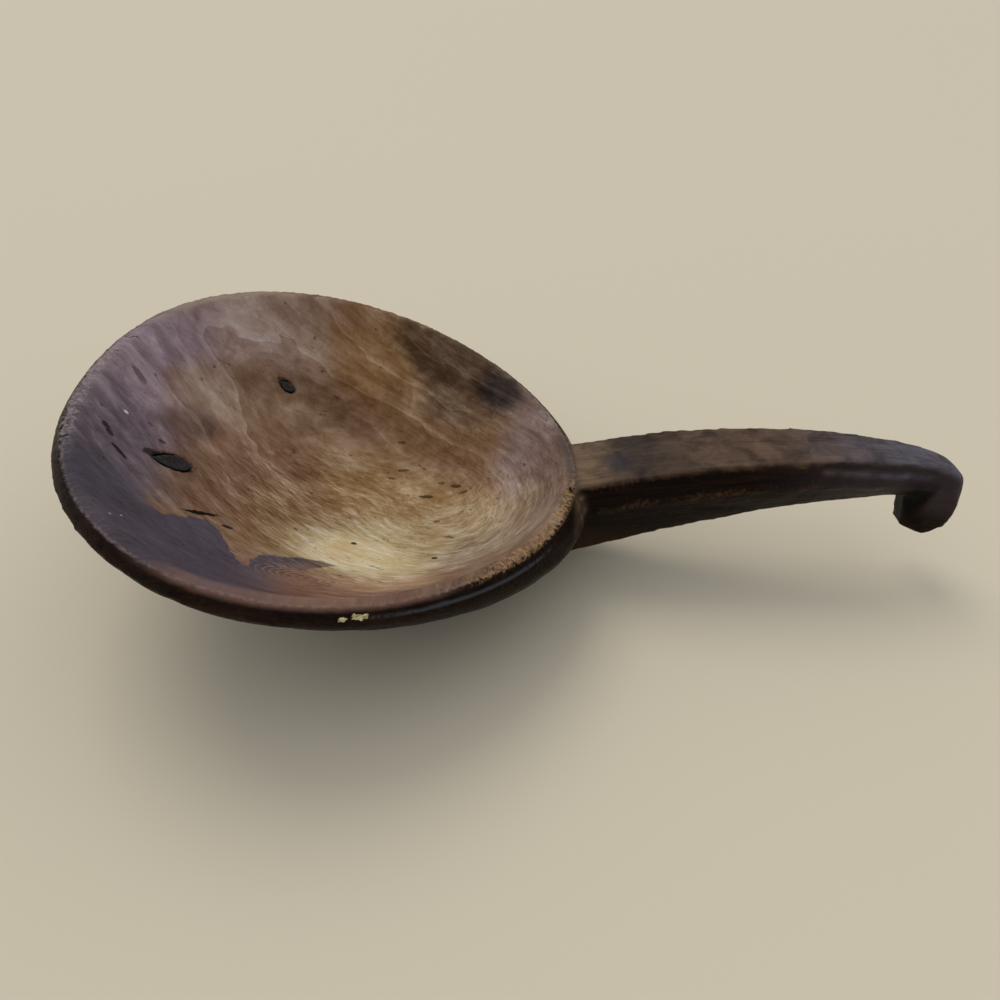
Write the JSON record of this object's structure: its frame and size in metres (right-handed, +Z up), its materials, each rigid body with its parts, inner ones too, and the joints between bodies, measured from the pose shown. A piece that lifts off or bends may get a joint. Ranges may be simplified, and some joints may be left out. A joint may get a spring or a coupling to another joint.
{
  "type": "butter paddle",
  "caption": "Hand-carved wooden butter paddle: a wide, shallow, slightly pointed bowl with an arched, faceted handle that ends in a stubby hook, and dead knots set in the hollow.",
  "frame": {"origin": "centre of the bowl's worn sole, on the table that the paddle lies on, in its symmetry plane", "axes": "+X out along the handle to the hook, +Z up from the table, +Y across the bowl"},
  "size_m": [0.2692, 0.1618, 0.0648],
  "materials": {
    "aged_wood": "hand-worn satin, dark patina",
    "knot_wood": "dry and matte"
  },
  "bodies": {
    "root": {"paddle": "aged_wood", "large_knot": "knot_wood", "small_knot": "knot_wood"}
  },
  "joints": []
}
